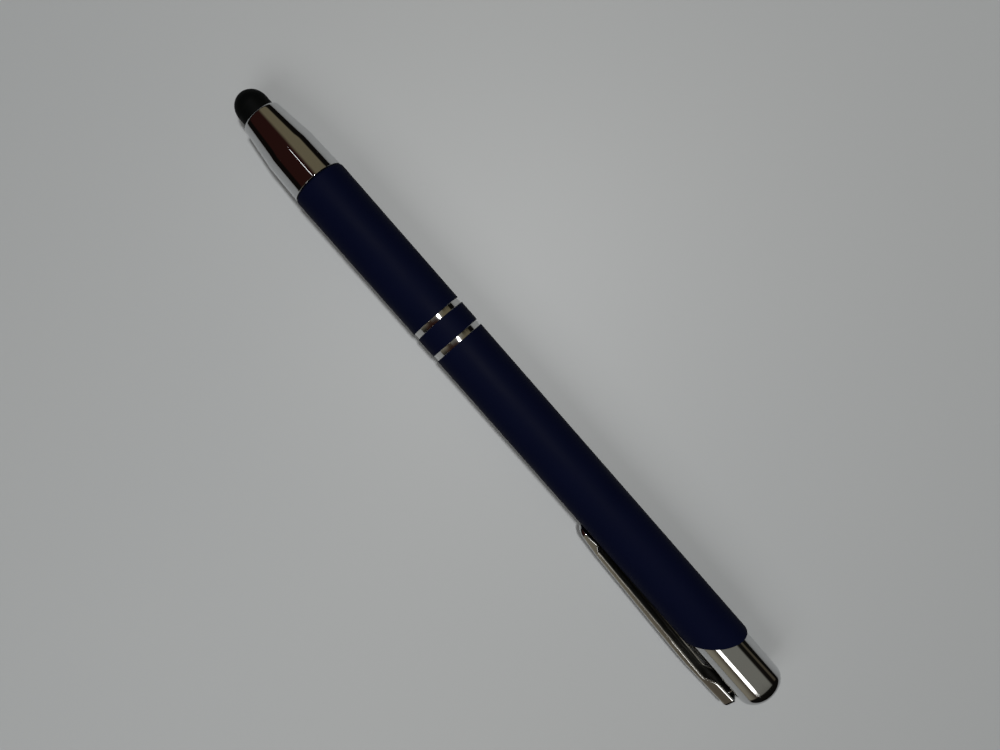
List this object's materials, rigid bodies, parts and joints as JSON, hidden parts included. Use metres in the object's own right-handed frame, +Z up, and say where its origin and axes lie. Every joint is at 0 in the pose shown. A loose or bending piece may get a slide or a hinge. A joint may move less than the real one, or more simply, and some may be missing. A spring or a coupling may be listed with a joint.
{
  "type": "stylus pen",
  "caption": "Click-action ballpoint pen with a rubber stylus dome on its nose, a straight round barrel with cut rings, a slanted barrel mouth and a spring clip carried by the plunger.",
  "frame": {"origin": "on the pen's axis, at the front end of the straight barrel band, behind the rounded lip", "axes": "+X along the pen's axis towards the stylus, +Z up from the table the pen lies on, +Y to the side that the clip points to"},
  "size_m": [0.1393, 0.0127, 0.01],
  "materials": {
    "navy_lacquer": "drawn tube under matte soft-touch lacquer, bright-cut rings",
    "brass_bush": "turned",
    "white_acetal": "moulded",
    "bright_aluminium": "polished and plated bright",
    "black_rubber": "conductive rubber, satin",
    "black_acetal": "moulded",
    "refill_plastic": "translucent",
    "nickel_silver": "turned",
    "carbide": "polished",
    "ink": "paste ink",
    "spring_steel": "drawn wire",
    "blue_acetal": "moulded",
    "grey_acetal": "moulded",
    "chrome": "polished"
  },
  "bodies": {
    "barrel": {"barrel": "navy_lacquer", "thread_bush": "brass_bush", "cam_sleeve": "white_acetal", "return_spring": "spring_steel"},
    "plunger": {"plunger_shell": "bright_aluminium", "plunger_core": "black_acetal", "toothed_pusher": "grey_acetal"},
    "clip": {"clip": "chrome"},
    "cam": {"rotating_cam": "blue_acetal"},
    "refill": {"refill_tube": "refill_plastic", "refill_tip": "nickel_silver", "ink_column": "ink", "refill_tail_plug": "white_acetal", "refill_collar": "white_acetal"},
    "ball": {"writing_ball": "carbide"},
    "guide": {"tip_guide": "black_acetal"},
    "nose": {"nose_cone": "bright_aluminium", "stylus_tip": "black_rubber"}
  },
  "joints": [
    {"name": "plunger_press", "type": "slide", "parent": "barrel", "child": "plunger", "axis": [1, 0, 0], "range_m": [0, 0.0065], "stiffness_N_per_m": 250, "springref_m": -0.006, "deforming": ["return_spring"]},
    {"name": "cam_slide", "type": "slide", "parent": "barrel", "child": "cam", "axis": [1, 0, 0], "range_m": [0, 0.0065]},
    {"name": "refill_slide", "type": "slide", "parent": "barrel", "child": "refill", "axis": [1, 0, 0], "range_m": [0, 0.0065]},
    {"name": "ball_roll", "type": "hinge", "parent": "refill", "child": "ball", "pos_m": [0.01625, 0, 0], "axis": [0, 1, 0], "continuous": true},
    {"name": "clip_flex", "type": "hinge", "parent": "plunger", "child": "clip", "pos_m": [-0.11595, 0.00394, -0.00185], "axis": [0, 0.426, 0.9047], "range_deg": [0, 4], "stiffness_Nm_per_rad": 1.8, "springref_deg": -1.15},
    {"name": "nose_advance", "type": "slide", "parent": "barrel", "child": "guide", "axis": [1, 0, 0], "range_m": [0, 0.003]},
    {"name": "nose_turn", "type": "hinge", "parent": "guide", "child": "nose", "pos_m": [0, 0, 0], "axis": [1, 0, 0], "range_deg": [0, 1440]}
  ],
  "couplings": [
    {"joint": "cam_slide", "follows": "plunger_press", "ratio": 1},
    {"joint": "refill_slide", "follows": "plunger_press", "ratio": 1},
    {"joint": "nose_turn", "follows": "nose_advance", "rad_per_m": 8377.6}
  ]
}
